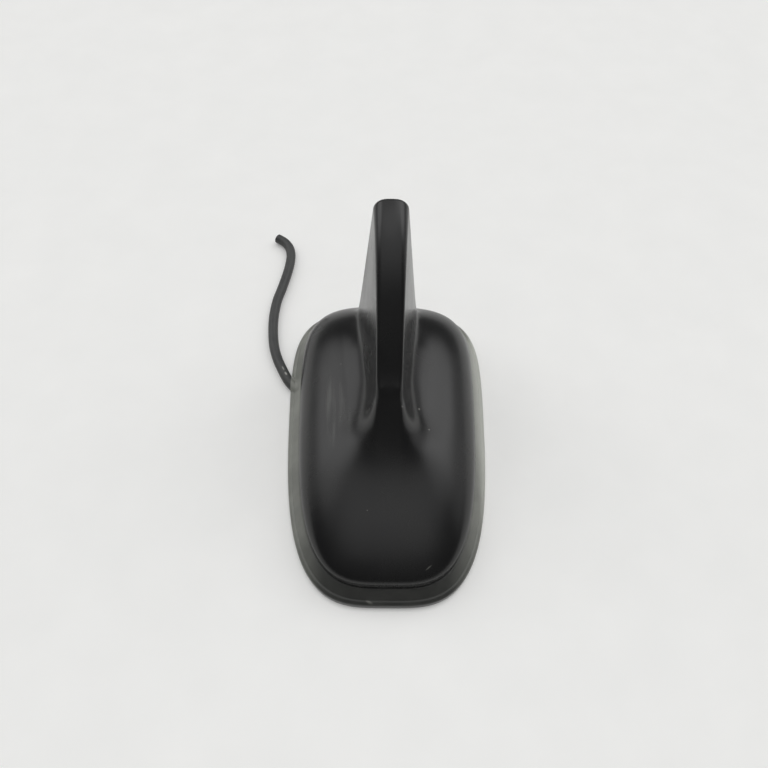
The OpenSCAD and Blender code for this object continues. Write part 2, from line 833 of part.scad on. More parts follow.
// Two spring clips on the main board that grip the fin board's tongue
module fin_contacts() {
    color("#d0b070")
    for (y = contact_y)
        translate([0, y, board_top]) {
            translate([-slot_half - contact_t, 0, 0])
                cube([2*(slot_half + contact_t), contact_w, contact_t]);
            for (x = [-slot_half - contact_t, slot_half])
                translate([x, 0, contact_t])
                cube([contact_t, contact_w, contact_h]);
        }
}

// Half of the room between the fin's walls at a place on its middle plane
function fin_room_half(y, z) = ridge_half(y) - fin_wall
    + tan_draft*(ridge_z(y) - ridge_wall*fin_wall - z);

// Strips that steady the fin board between the fin's walls
module fin_foam() {
    board_x = fin_board_t/2;
    wall_x = fin_room_half(foam_strip_y, foam_strip_z + foam_strip.y) - 2*clear;
    color("#4a4a4d") {
        translate([-wall_x, foam_strip_y, foam_strip_z])
        cube([wall_x - board_x, foam_strip.x, foam_strip.y]);
        translate([board_x + radiator_t, foam_strip_y, foam_strip_z])
        cube([wall_x - board_x - radiator_t, foam_strip.x, foam_strip.y]);
    }
}

// Right-angle plug: its barrel is crimped on the lead, and its body rises to the board
module coax_elbow() {
    body_top = board_z - elbow_pin_l;
    color("#c8a24a")
    translate([elbow.x, elbow.y, 0]) {
        translate([0, 0, elbow_z]) cylinder(h = body_top - elbow_z, r = elbow_r);
        translate([0, 0, body_top]) cylinder(h = elbow_pin_l, r = elbow_pin_r);
        translate([0, 0, cord_r])
            rotate([0, 0, atan2(lead_start.y, lead_start.x)])
            rotate([0, 90, 0])
            cylinder(h = barrel_l, r = barrel_r);
    }
}

module elbow_seal() {
    color("#3a3a3c")
    translate([elbow.x, elbow.y, elbow_seal_z])
    difference() {
        cylinder(h = plate_t, r = elbow_r + elbow_seal_t - clear/2);
        translate([0, 0, -over]) cylinder(h = plate_t + 2*over, r = elbow_r + clear/2);
    }
}

// Lead: a ring of points square to the route at each of its points
module cord() {
    last = len(cord_route) - 1;
    points = [for (i = [0:last])
        let (step = cord_route[min(i + 1, last)] - cord_route[max(i - 1, 0)])
        let (side = cord_r*[step.y, -step.x]/norm(step))
        for (k = [0:cord_sides - 1])
            let (a = 360*(k + 0.5)/cord_sides)
            [cord_route[i].x + cos(a)*side.x, cord_route[i].y + cos(a)*side.y, cord_r + cord_r*sin(a)]];
    sides = [for (i = [0:last - 1], k = [0:cord_sides - 1])
        let (a = i*cord_sides + k)
        let (b = i*cord_sides + (k + 1) % cord_sides)
        each [[a, b, b + cord_sides], [a, b + cord_sides, a + cord_sides]]];
    start = [for (k = [0:cord_sides - 1]) cord_sides - 1 - k];
    end = [for (k = [0:cord_sides - 1]) last*cord_sides + k];
    color("#242426")
    polyhedron(points, concat(sides, [start, end]));
}

housing();
gasket();
base_plate();
threaded_insert();
inner_seal();
main_board();
board_screws();
housing_screws();
patch_tape();
ceramic_patch();
patch_electrode();
feed_pin();
foam_pad();
shield_can();
amplifier_chips();
fin_bracket();
bracket_screws();
fin_board();
fin_radiator();
fin_contacts();
fin_foam();
coax_elbow();
elbow_seal();
cord();
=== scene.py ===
import math

import bmesh
import bpy
import numpy as np
from mathutils import Matrix, Vector


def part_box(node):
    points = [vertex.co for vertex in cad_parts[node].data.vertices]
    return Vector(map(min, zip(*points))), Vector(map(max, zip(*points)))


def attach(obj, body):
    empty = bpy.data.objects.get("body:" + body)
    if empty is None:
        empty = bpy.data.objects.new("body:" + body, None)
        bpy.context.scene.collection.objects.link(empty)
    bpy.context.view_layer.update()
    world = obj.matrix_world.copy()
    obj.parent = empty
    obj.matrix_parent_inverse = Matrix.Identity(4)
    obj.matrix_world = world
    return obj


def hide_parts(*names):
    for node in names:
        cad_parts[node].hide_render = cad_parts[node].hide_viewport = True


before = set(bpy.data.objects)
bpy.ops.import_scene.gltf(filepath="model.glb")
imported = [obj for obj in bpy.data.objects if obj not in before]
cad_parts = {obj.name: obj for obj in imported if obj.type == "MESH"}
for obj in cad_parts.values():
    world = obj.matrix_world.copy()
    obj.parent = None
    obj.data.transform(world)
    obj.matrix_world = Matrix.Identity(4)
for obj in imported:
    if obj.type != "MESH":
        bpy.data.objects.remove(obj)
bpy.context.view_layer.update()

# Camera. It looks down on the nose from the front, a little to the left, as the photograph does.
# Its place is in metres and its angles in degrees. Its lens and sensor are in millimetres.
eye = Vector((-0.00559, -0.13467, 0.22719))
looks_down = math.radians(55)
looks_right = math.radians(1.72)
leans = math.radians(2.03)

ahead = Vector((math.sin(looks_right)*math.cos(looks_down),
                math.cos(looks_right)*math.cos(looks_down),
                -math.sin(looks_down)))
level = Vector((math.cos(looks_right), -math.sin(looks_right), 0))
upright = level.cross(ahead)
to_right = level*math.cos(leans) + upright*math.sin(leans)
to_top = upright*math.cos(leans) - level*math.sin(leans)

camera_data = bpy.data.cameras.new("camera")
camera_data.lens = 37.5
camera_data.sensor_width = 36
camera_data.clip_start = 0.01
camera = bpy.data.objects.new("camera", camera_data)
turned = Matrix((to_right, to_top, -ahead)).transposed().to_4x4()
camera.matrix_world = Matrix.Translation(eye) @ turned
bpy.context.scene.collection.objects.link(camera)
bpy.context.scene.camera = camera
bpy.context.scene.view_settings.view_transform = "Standard"


# Lead. A thin coaxial lead with an extruded black jacket, crimped into its plug under the plate.
# It leaves the antenna under the gasket's left side, lies on the surface and ends where it was cut.
mm = 0.001


def linear(hex_colour):
    """The linear colour of an sRGB hex value, with full opacity."""
    parts = [int(hex_colour[i:i + 2], 16)/255 for i in (1, 3, 5)]
    return [c/12.92 if c <= 0.04045 else ((c + 0.055)/1.055)**2.4 for c in parts] + [1.0]


def add(tree, kind, links=None, values=None, **settings):
    """A new node of that kind: its settings, its sockets' values, and its sockets' links."""
    made = tree.nodes.new(kind)
    for name, setting in settings.items():
        setattr(made, name, setting)
    for name, value in (values or {}).items():
        made.inputs[name].default_value = value
    for name, source in (links or {}).items():
        tree.links.new(source, made.inputs[name])
    return made


def new_material(name):
    """An empty node material, with its tree and its object coordinates."""
    material = bpy.data.materials.new(name)
    material.use_nodes = True
    tree = material.node_tree
    tree.nodes.clear()
    place = add(tree, "ShaderNodeTexCoord").outputs["Object"]
    return material, tree, place


def make_piece(name, points, faces, material, replaced, sharp):
    """A piece at the origin from points in millimetres and arrays of faces, in place of one solid.
    Points that meet are welded, and edges that turn by more than sharp degrees stay crisp."""
    same_place = 1e-7
    no_length = 1e-8
    mesh = bpy.data.meshes.new(name)
    mesh.vertices.add(len(points))
    mesh.vertices.foreach_set("co", (np.asarray(points, float)*mm).ravel())
    counts = np.concatenate([np.full(len(f), f.shape[1]) for f in faces])
    corners = np.concatenate([f.ravel() for f in faces])
    mesh.loops.add(len(corners))
    mesh.loops.foreach_set("vertex_index", corners.astype(np.int32))
    mesh.polygons.add(len(counts))
    mesh.polygons.foreach_set("loop_start", (np.cumsum(counts) - counts).astype(np.int32))
    mesh.polygons.foreach_set("loop_total", counts.astype(np.int32))
    mesh.update(calc_edges=True)
    work = bmesh.new()
    work.from_mesh(mesh)
    bmesh.ops.remove_doubles(work, verts=work.verts, dist=same_place)
    bmesh.ops.dissolve_degenerate(work, edges=work.edges, dist=no_length)
    work.to_mesh(mesh)
    work.free()
    mesh.polygons.foreach_set("use_smooth", np.ones(len(mesh.polygons), bool))
    mesh.set_sharp_from_angle(angle=math.radians(sharp))
    mesh.materials.append(material)
    piece = bpy.data.objects.new(name, mesh)
    bpy.context.scene.collection.objects.link(piece)
    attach(piece, "root")
    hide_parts(replaced)
    return piece


def grid_faces(rows, columns, closed_rows=False, closed_columns=False):
    """Quads between the points of a grid, counted row by row. A closed grid's last row or column
    joins its first."""
    i, j = np.meshgrid(np.arange(rows if closed_rows else rows - 1),
                       np.arange(columns if closed_columns else columns - 1), indexing="ij")
    i, j = i.ravel(), j.ravel()
    down, across = (i + 1) % rows, (j + 1) % columns
    return np.stack([i*columns + j, down*columns + j, down*columns + across, i*columns + across], 1)


# Its middle line seen from above, in mm: x to the right of the antenna's middle, and y behind it
cord_diameter = 3.5
cord_route = [[-16, 5], [-20, 9.2], [-24, 13.4], [-28, 17.6], [-32, 21.8], [-34, 24.5], [-36, 28.4],
              [-38.1, 33.2], [-39.8, 39], [-40.7, 46], [-40.9, 53], [-40.3, 60], [-39, 66],
              [-37.8, 72], [-36.9, 78], [-36.7, 83], [-37.5, 87], [-39.6, 90.2], [-42.6, 92.4]]


def smooth_route(route, steps):
    """A Catmull-Rom curve: between two points it leans on their two neighbours."""
    p = np.array([route[0]] + route + [route[-1]], float)
    t = np.linspace(0, 1, steps, endpoint=False)[:, None]
    spans = [0.5*(2*p[k] + (p[k + 1] - p[k - 1])*t
                  + (2*p[k - 1] - 5*p[k] + 4*p[k + 1] - p[k + 2])*t**2
                  + (3*p[k] - p[k - 1] - 3*p[k + 1] + p[k + 2])*t**3)
             for k in range(1, len(p) - 2)]
    return np.concatenate(spans + [p[-1:]])


# Carried straight under the gasket, and then smooth
straight_points = 4
span_steps = 10
cord_line = np.concatenate([np.array(cord_route[:straight_points], float),
                            smooth_route(cord_route, span_steps)[straight_points*span_steps:]])
cord_radius = cord_diameter/2

# The rings close in at the cut end with a worn round edge. Both ends are doubled, with no radius,
# so that flat faces close them.
cord_sides = 32
cut_edge = 0.35
worn_steps = 5
worn = np.linspace(0, np.pi/2, worn_steps)
end_step = cord_line[-1] - cord_line[-2]
end_step /= np.linalg.norm(end_step)
end_line = cord_line[-1] - end_step*(cut_edge*(1 - np.sin(worn)))[:, None]
end_radius = cord_radius - cut_edge*(1 - np.cos(worn))
room_for_edge = 1.2*cut_edge
keep = np.linalg.norm(cord_line - cord_line[-1], axis=1) > room_for_edge
whole_line = np.concatenate([cord_line[keep], end_line, cord_line[-1:]])
whole_radius = np.concatenate([np.full(keep.sum(), cord_radius), end_radius, [0]])
whole_line = np.concatenate([whole_line[:1], whole_line])
whole_radius = np.concatenate([[0], whole_radius])


def ring_stack(line, radius, sides, z):
    """Rings of a tube along a level line: each is a circle square to the mean of the directions
    before and after it. A doubled point takes its direction from the nearest real step."""
    no_step = 1e-6
    step = np.diff(line, axis=0)
    length = np.linalg.norm(step, axis=1)
    step = np.concatenate([step, step[-1:]])
    length = np.concatenate([length, length[-1:]])
    good = length > no_step
    index = np.arange(len(line))
    nearest = np.array([index[good][np.argmin(np.abs(index[good] - k))] for k in index])
    ahead_of = step[nearest]/length[nearest][:, None]
    before = ahead_of[np.maximum(index - 1, 0)]
    ahead_of = ahead_of + before
    ahead_of /= np.linalg.norm(ahead_of, axis=1)[:, None]
    side = np.stack([ahead_of[:, 1], -ahead_of[:, 0]], 1)
    a = 2*np.pi*np.arange(sides)/sides
    place = line[:, None, :] + np.cos(a)[None, :, None]*side[:, None, :]*radius[:, None, None]
    height = z + np.sin(a)[None, :]*radius[:, None]
    return np.concatenate([place, height[..., None]], 2)


rings = ring_stack(whole_line, whole_radius, cord_sides, cord_radius)
cord_points = rings.reshape(-1, 3)
cord_faces = grid_faces(len(rings), cord_sides, closed_columns=True)

# Where a Noise Texture's values mostly lie, for the two tones and for the roughness
tone_stops = (0.32, 0.7)
noise_low = 0.3
noise_high = 0.7


def clouded(name, dark, light, cloud_mm, grain_mm, proud_mm, rough, **own):
    """A material in two near tones that drift into each other over cloud_mm. Its roughness drifts
    with them between the two values of rough, and a grain of grain_mm stands proud_mm high. The
    shader's other values come by their own names, with _ for a space."""
    material, tree, place = new_material(name)
    cloud = add(tree, "ShaderNodeTexNoise", links={"Vector": place},
                values={"Scale": 1/(cloud_mm*mm), "Detail": 5})
    grain = add(tree, "ShaderNodeTexNoise", links={"Vector": place},
                values={"Scale": 1/(grain_mm*mm), "Detail": 3})
    tone = add(tree, "ShaderNodeValToRGB", links={"Fac": cloud.outputs["Fac"]})
    for stop, position, colour in zip(tone.color_ramp.elements, tone_stops, (dark, light)):
        stop.position = position
        stop.color = linear(colour)
    roughness = add(tree, "ShaderNodeMapRange", links={"Value": cloud.outputs["Fac"]},
                    values={"From Min": noise_low, "From Max": noise_high,
                            "To Min": rough[0], "To Max": rough[1]})
    relief = add(tree, "ShaderNodeBump", links={"Height": grain.outputs["Fac"]},
                 values={"Strength": 1.0, "Distance": proud_mm*mm})
    shader = add(tree, "ShaderNodeBsdfPrincipled",
                 links={"Base Color": tone.outputs["Color"], "Roughness": roughness.outputs["Result"],
                        "Normal": relief.outputs["Normal"]},
                 values={socket.replace("_", " "): value for socket, value in own.items()})
    add(tree, "ShaderNodeOutputMaterial", links={"Surface": shader.outputs["BSDF"]})
    return material, tree, place, shader


def soft_spots(tree, place, spots):
    """Sum of soft-edged ovals, seen from above: x, y, half width and half length in mm, turn in
    degrees, and strength. Each is its strength in the middle and fades to nothing at its edge."""
    total = None
    for x, y, half_width, half_length, turn, strength in spots:
        own_place = add(tree, "ShaderNodeMapping", vector_type="TEXTURE", links={"Vector": place},
                        values={"Location": (x*mm, y*mm, 0), "Rotation": (0, 0, math.radians(turn)),
                                "Scale": (half_width*mm, half_length*mm, 1)})
        away = add(tree, "ShaderNodeVectorMath", operation="LENGTH",
                   links={0: own_place.outputs["Vector"]}).outputs["Value"]
        spot = add(tree, "ShaderNodeMapRange", links={"Value": away}, interpolation_type="SMOOTHSTEP",
                   values={"From Min": 1.0, "From Max": 0.2, "To Min": 0.0, "To Max": strength})
        joined = add(tree, "ShaderNodeMath", operation="ADD", links={0: spot.outputs["Result"]},
                     values={1: 0.0})
        if total is not None:
            tree.links.new(total, joined.inputs[1])
        total = joined.outputs["Value"]
    return total


def blend_colour(tree, shader, share, colour):
    """The shader's colour turns to the given one by share: it lays on wear, dust and print, and also
    painted light.
    """
    before = shader.inputs["Base Color"].links[0].from_socket
    blended = add(tree, "ShaderNodeMixRGB", links={"Fac": share, "Color1": before},
                 values={"Color2": linear(colour)})
    tree.links.new(blended.outputs["Color"], shader.inputs["Base Color"])


# PVC jacket, extruded: satin, and a little greyed by handling. Its grain of 0.3 mm is drawn at
# 1.1 mm so that it shows. Two pale marks lie near where it leaves under the gasket.
jacket, tree, place, shader = clouded("extruded_pvc", "#2b2c2d", "#444544", cloud_mm=6, grain_mm=1.1,
                                      proud_mm=0.02, rough=(0.42, 0.6), IOR=1.53)
exit_pale_marks = [(-34.6, 25.9, 0.5, 1.1, 28, 0.8), (-35.7, 28.1, 0.35, 1.3, 26, 0.6)]
blend_colour(tree, shader, soft_spots(tree, place, exit_pale_marks), "#b4b4ae")

lead = make_piece("lead", cord_points, [cord_faces], jacket, "cord", sharp=60)


# Base plate. A die-cast zinc plate that closes the housing from below and carries the bolt. Its
# skin is as cast, with the slight mottle of the mould.
def dress(name, material):
    """A CAD node takes the material in each of its slots."""
    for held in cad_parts[name].material_slots:
        held.material = material


# Zinc alloy, die cast: a dull grey metal with soft bright and dark clouds
cast_zinc = clouded("die_cast_zinc", "#8f9294", "#aeb1b2", cloud_mm=9, grain_mm=0.5, proud_mm=0.012,
                    rough=(0.4, 0.56), Metallic=1.0)[0]
dress("base_plate", cast_zinc)


# Threaded insert. A brass bush turned on an automatic lathe and pressed into the plate's boss, for
# the bolt that pulls the antenna down on the roof.

# At scale 1 a Wave Texture repeats every 2 pi/20, here in metres
wave_repeat = 2*math.pi/20
# Brass, turned: yellow metal with fine rings from the tool, 0.1 mm apart and drawn at 0.6 mm
turned_brass, tree, place, shader = clouded("turned_brass", "#b08d50", "#c9a866", cloud_mm=5, grain_mm=0.3,
                                            proud_mm=0.002, rough=(0.22, 0.34), Metallic=1.0)
ring_gap = 0.6
tool_rings = add(tree, "ShaderNodeTexWave", links={"Vector": place}, bands_direction="Z",
                 values={"Scale": wave_repeat/(ring_gap*mm), "Distortion": 0.4})
relief = add(tree, "ShaderNodeBump", links={"Height": tool_rings.outputs["Fac"]},
             values={"Distance": 0.004*mm})
tree.links.new(relief.outputs["Normal"], shader.inputs["Normal"])
insert_low, insert_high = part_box("threaded_insert")
insert_r = (insert_high.x - insert_low.x)/2/mm
insert_y = (insert_high.y + insert_low.y)/2/mm
insert_z = (insert_low.z/mm, insert_high.z/mm)
# M8: its inner and outer radius, its pitch, and the slope and flat of its profile
thread_minor_r = 3.35
thread_major_r = 4
thread_pitch = 1.25
flank_slope = 1.3
crest_flat = 0.15
mouth = 0.5
insert_sides = 96


def threaded_bore(rows):
    """Radii and heights of a bore with a metric thread: the groove is a triangle wave, cut off flat
    at its crest and root, that climbs one pitch a turn. At each mouth a cone takes over where it is
    wider than the thread."""
    z = np.linspace(*insert_z, rows)[:, None]
    turn = np.arange(insert_sides)[None, :]/insert_sides
    phase = (z/thread_pitch - turn) % 1
    groove = np.clip(flank_slope*(1 - np.abs(2*phase - 1)) - crest_flat, 0, 1)
    radius = thread_minor_r + (thread_major_r - thread_minor_r)*groove
    from_mouth = np.minimum(z - insert_z[0], insert_z[1] - z)
    cone = thread_major_r + mouth - from_mouth
    return np.maximum(radius, cone), np.repeat(z, insert_sides, 1)


bore_r, bore_z = threaded_bore(rows=90)
edge_break = 0.3
outside = [(insert_r - edge_break, insert_z[1]), (insert_r, insert_z[1] - edge_break),
           (insert_r, insert_z[0] + edge_break), (insert_r - edge_break, insert_z[0])]
outside = np.array(outside)[:, :, None]
insert_radii = np.concatenate([bore_r, np.repeat(outside[:, 0], insert_sides, 1)])
insert_heights = np.concatenate([bore_z, np.repeat(outside[:, 1], insert_sides, 1)])
around = 2*np.pi*np.arange(insert_sides)/insert_sides
insert_points = np.stack([insert_radii*np.cos(around), insert_y + insert_radii*np.sin(around),
                          insert_heights], -1)
insert_faces = grid_faces(len(insert_radii), insert_sides, closed_rows=True, closed_columns=True)
make_piece("threaded_bush", insert_points.reshape(-1, 3), [insert_faces], turned_brass,
           "threaded_insert", sharp=40)


# Inner seal. A ring of silicone rubber that keeps water away from the board. It is moulded in one
# and laid between the plate's rib and the housing, and the plate's screws squeeze it.

# Silicone, moulded: soft dark grey with a dry, dusty face
silicone = clouded("moulded_silicone", "#2b2e31", "#3a3d40", cloud_mm=7, grain_mm=0.4, proud_mm=0.01,
                   rough=(0.5, 0.66), IOR=1.43)[0]
dress("inner_seal", silicone)


# Main board. Glass-fibre laminate, routed to shape, with a green lacquer over its copper. Four
# pan-head screws hold it on the plate's posts.

# Epoxy laminate, lacquered: green and glossy, with the glass cloth just showing. Its threads lie
# 0.5 mm apart and are drawn at 1 mm.
laminate, tree, place, shader = clouded("lacquered_laminate", "#174329", "#205636", cloud_mm=12,
                                        grain_mm=0.8, proud_mm=0.004, rough=(0.2, 0.32), IOR=1.55,
                                        Coat_Weight=0.4, Coat_Roughness=0.12)
cloth_gap = 1
cloth_scale = wave_repeat/(cloth_gap*mm)
warp = add(tree, "ShaderNodeTexWave", links={"Vector": place}, bands_direction="X",
           values={"Scale": cloth_scale})
weft = add(tree, "ShaderNodeTexWave", links={"Vector": place}, bands_direction="Y",
           values={"Scale": cloth_scale})
cloth = add(tree, "ShaderNodeMath", operation="MULTIPLY",
            links={0: warp.outputs["Fac"], 1: weft.outputs["Fac"]})
cloth_share = add(tree, "ShaderNodeMath", operation="MULTIPLY", links={0: cloth.outputs["Value"]},
                  values={1: 0.35})
blend_colour(tree, shader, cloth_share.outputs["Value"], "#356b49")
dress("main_board", laminate)

# Steel, zinc plated: bluish grey, satin, with the crystals of the plating
plated_steel = clouded("zinc_plated_steel", "#9a9fa3", "#b9bdc0", cloud_mm=1.5, grain_mm=0.2,
                       proud_mm=0.003, rough=(0.26, 0.4), Metallic=1.0)[0]
dress("board_screws", plated_steel)


# Patch antenna. A ceramic tile with a fired silver face, stuck on the board with foam tape. A pin
# carries the signal through it, and a foam pad holds it down under the housing.

# Acrylic foam tape, die cut: off-white and dull
tape = clouded("acrylic_foam_tape", "#cfccc2", "#dedbd2", cloud_mm=3, grain_mm=0.3, proud_mm=0.02,
               rough=(0.6, 0.75), IOR=1.47)[0]
dress("patch_tape", tape)
# Ceramic, pressed and sintered: sandy and matt, with a fine grit
ceramic = clouded("sintered_ceramic", "#bfb197", "#cfc3ab", cloud_mm=6, grain_mm=0.25, proud_mm=0.012,
                  rough=(0.5, 0.66), IOR=1.9)[0]
dress("ceramic_patch", ceramic)
# Silver paste, screen printed and fired: pale and satin, with the print of the screen, whose
# threads lie 0.1 mm apart and are drawn at 0.6 mm
silver, tree, place, shader = clouded("fired_silver", "#bdbbb5", "#d3d1cb", cloud_mm=4, grain_mm=0.3,
                                      proud_mm=0.003, rough=(0.38, 0.52), Metallic=1.0)
screen_gap = 0.6
screen_print = add(tree, "ShaderNodeTexWave", links={"Vector": place}, bands_direction="DIAGONAL",
                   values={"Scale": wave_repeat/(screen_gap*mm), "Distortion": 0.6})
relief = add(tree, "ShaderNodeBump", links={"Height": screen_print.outputs["Fac"]},
             values={"Distance": 0.003*mm})
tree.links.new(relief.outputs["Normal"], shader.inputs["Normal"])
dress("patch_electrode", silver)
# Brass, tinned: a warm white metal, smooth from the bath
tinned = clouded("tinned_brass", "#b7b5ac", "#cbc9c1", cloud_mm=1.2, grain_mm=0.4, proud_mm=0.004,
                 rough=(0.2, 0.32), Metallic=1.0)[0]
dress("feed_pin", tinned)
# Polyurethane foam, cut: dark, dull and open, with cells of 0.5 mm that stand 0.12 mm deep
foam, tree, place, shader = clouded("open_cell_foam", "#303033", "#454548", cloud_mm=2, grain_mm=0.3,
                                    proud_mm=0.02, rough=(0.85, 0.95), IOR=1.4)
cells = add(tree, "ShaderNodeTexVoronoi", links={"Vector": place}, values={"Scale": 1/(0.5*mm)})
relief = add(tree, "ShaderNodeBump", links={"Height": cells.outputs["Distance"]},
             values={"Distance": 0.12*mm})
tree.links.new(relief.outputs["Normal"], shader.inputs["Normal"])
dress("foam_pad", foam)


# Amplifier. A few small chips under a can of thin tinned steel, stamped and soldered to the board,
# which keeps other signals out.

# Tinned steel sheet, rolled and stamped: bright grey with faint lines the way it was rolled,
# 0.25 mm apart and twenty times as long
tin_sheet, tree, place, shader = clouded("tinned_steel_sheet", "#abadae", "#c2c4c5", cloud_mm=5,
                                         grain_mm=0.6, proud_mm=0.002, rough=(0.2, 0.34), Metallic=1.0)
rolled_place = add(tree, "ShaderNodeMapping", links={"Vector": place}, values={"Scale": (0.05, 1, 1)})
rolled = add(tree, "ShaderNodeTexNoise", links={"Vector": rolled_place.outputs["Vector"]},
             values={"Scale": 1/(0.25*mm), "Detail": 2})
relief = add(tree, "ShaderNodeBump", links={"Height": rolled.outputs["Fac"]},
             values={"Distance": 0.003*mm})
tree.links.new(relief.outputs["Normal"], shader.inputs["Normal"])
dress("shield_can", tin_sheet)
# Epoxy, transfer moulded: near black and matt, with a fine filler
moulded_epoxy = clouded("moulded_epoxy", "#1a1b1d", "#26272a", cloud_mm=1, grain_mm=0.15, proud_mm=0.006,
                        rough=(0.42, 0.56), IOR=1.55)[0]
dress("amplifier_chips", moulded_epoxy)


# Fin antenna. A moulded bracket, screwed to the main board, holds an upright board with a copper
# strip on its face. Springs touch the strip at its foot, and foam strips steady the board's edges.

# Nylon with glass fibres, moulded: charcoal and satin, mottled where fibres come near the face
filled_nylon = clouded("glass_filled_nylon", "#2c2d2f", "#3d3e40", cloud_mm=4, grain_mm=0.35,
                       proud_mm=0.012, rough=(0.42, 0.58), IOR=1.53)[0]
dress("fin_bracket", filled_nylon)
dress("bracket_screws", plated_steel)
dress("fin_board", laminate)
# Copper, etched and lacquered: red metal, browner where it has tarnished
copper = clouded("etched_copper", "#9c5a38", "#c47b52", cloud_mm=7, grain_mm=0.5, proud_mm=0.003,
                 rough=(0.24, 0.38), Metallic=1.0)[0]
dress("fin_radiator", copper)
# Spring bronze, stamped: pale gold and bright
bronze = clouded("stamped_spring_bronze", "#b4935c", "#cdae77", cloud_mm=2, grain_mm=0.3, proud_mm=0.002,
                 rough=(0.18, 0.28), Metallic=1.0)[0]
dress("fin_contacts", bronze)
dress("fin_foam", foam)


# Plug. A right-angle coaxial plug in turned brass joins the lead to the board through the plate. A
# moulded silicone ring seals it.
dress("coax_elbow", turned_brass)
dress("elbow_seal", silicone)


# Housing. One moulding in black weatherproof ABS, with a fine spark-eroded grain that hands have
# rubbed smooth. It is moulded on a core that draws downwards, so the fin's flanks have a draft.

# Its foot's outline, its skirt and its dome
housing_low, housing_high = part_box("housing")
half_w = housing_high.x/mm
housing_l = (housing_high.y - housing_low.y)/mm
tip_z = 67.6
gasket_h = housing_low.z/mm
widest_y = 18
outline_power = 3.5
nose_taper = 0.055
skirt_top = gasket_h + 2.8
dome_h = 13.2
nose_fall = 3
tail_fall = 4
dome_power = 0.625
dome_crown = 0.12
wall = 2.3
nose_len = housing_l/2 + widest_y
tail_len = housing_l/2 - widest_y
# The fin: its leading edge from foot to tip, the round of its edges and the draft of its sides.
# Small forms that only reflections show are finer here than on the solid: the tip's round edges,
# the crown, the fall at the back, the flare's level top and the apron.
fin_foot_y = -3.5
fin_back_y = 46.6
fin_foot_z = 34.4
ridge_foot_w = 7.6
ridge_tip_w = 10.7
flank_draft = math.radians(5.4)
back_draft = math.radians(3.4)
edge_r = 1.3
edge_tip_r = 2.9
crown_r = 4.7
foot_r = 3.4
foot_drop = 3
fillet = 6
fin_wall = 2
ridge_wall = 1.5
corner_loss = 0.9
# How much lower the leading edge is at its sides than in its middle, at its foot and at its tip
ridge_crown = 0.2
tip_crown = 0.9
# The last of the leading edge falls a little towards the back
back_round_l = 4.6
back_round_h = 1.5
# Flare in front of the fin's foot: height, reach forwards, half its width, how much it widens
# forwards and over how far that sets in, reach backwards, what it loses for each mm of wall, half
# the width of its level top, and over what share of its half width the sides fall
flare_h = 13.5
flare_l = 12.5
flare_w = 4
flare_spread = 0.7
flare_soft = 4
flare_back = 9
flare_thin = 0.5
flare_flat = 2.6
flare_side = 0.72
# Soft apron along each side of the fin, that grows from its foot and is gone before its back
apron_h = 2.4
apron_w = 6.5
apron_power = 1.7
apron_in = 1.5
apron_x = 3.4
apron_ends = [-13, 6, 22, 37]
fin_len = fin_back_y - fin_foot_y
fin_rise = tip_z - fin_foot_z
tan_draft = math.tan(flank_draft)
back_stretch = tan_draft/math.tan(back_draft)


def mix(a, b, t):
    """From a to b by the share t."""
    return a + (b - a)*t


def soft_max(a, b, k):
    """The larger of two heights, with a soft hollow where they meet: the mean of their sum and of
    the hypotenuse over their difference and k, the hollow's size."""
    return (a + b + np.sqrt((a - b)**2 + k*k))/2


def taper_at(y):
    """Share of the full width left at y: it falls in a straight line from the widest place to the
    nose."""
    return 1 - nose_taper*np.maximum(0, widest_y - y)/nose_len


def outline_point(d, s):
    """Where the ray in direction d crosses the superellipse of the foot, drawn in by s."""
    reach = np.where(d[..., 1] < 0, nose_len, tail_len) - s
    total = np.abs(d[..., 0]/(half_w - s))**outline_power + np.abs(d[..., 1]/reach)**outline_power
    r = total**(-1/outline_power)
    y = widest_y + r*d[..., 1]
    return np.stack([r*d[..., 0]*taper_at(y), y], -1)


def flare_z(x, y, s):
    """Flare in front of the fin's foot, like a trumpet's bell. It fades by an exponential of a
    power 1.5 of the way forwards and of the square of the way back. Sideways, beyond its level top,
    it is divided by a power 1.5 of one more than the square of the way out."""
    front = np.maximum(0, fin_foot_y - y)
    behind = np.maximum(0, y - fin_foot_y)
    forwards = fin_foot_y - y
    half = flare_w + flare_spread*(forwards + np.hypot(forwards, flare_soft))/2
    fade = (front/flare_l)**1.5 + (behind/flare_back)**2
    beside = np.maximum(0, np.abs(x) - flare_flat)/(half*flare_side)
    return (flare_h - flare_thin*s)*np.exp(-fade)*(1 + beside**2)**-1.5


def dome_z(x, y, s):
    """Dome: its height times a power of what is left inside the outline, which is one less the
    superellipse's sum. It falls by squares towards the nose, the tail and the sides."""
    across = np.abs(x)/((half_w - s)*taper_at(y))
    front = y < widest_y
    along = np.where(front, (widest_y - y)/(nose_len - s), (y - widest_y)/(tail_len - s))
    whole = np.where(front, (widest_y - y)/nose_len, (y - widest_y)/tail_len)
    left = np.maximum(0, 1 - across**outline_power - along**outline_power)
    fall = np.where(front, nose_fall, tail_fall)*whole**2
    dome = (dome_h - s - fall)*(1 - dome_crown*across**2)*left**dome_power
    return skirt_top + dome + flare_z(x, y, s)


def ridge_t(y):
    """How far along the leading edge y is: 0 at its foot and 1 at its tip."""
    return (y - fin_foot_y)/fin_len


def ridge_z(y):
    """Leading edge: a parabola that is level at the tip and drops into the flare at its foot."""
    t = np.minimum(1, ridge_t(y))
    return fin_foot_z + np.where(t < 0, foot_drop*(y - fin_foot_y), fin_rise*(1 - (1 - t)**2))


def ridge_half(y):
    """Half the leading edge's width. It grows with the square of the way along it."""
    return mix(ridge_foot_w, ridge_tip_w, np.clip(ridge_t(y), 0, 1)**2)/2


def corner_r(s):
    """Radius of the fin's back corners seen from above, less for a skin drawn in by s."""
    return crown_r - corner_loss*s


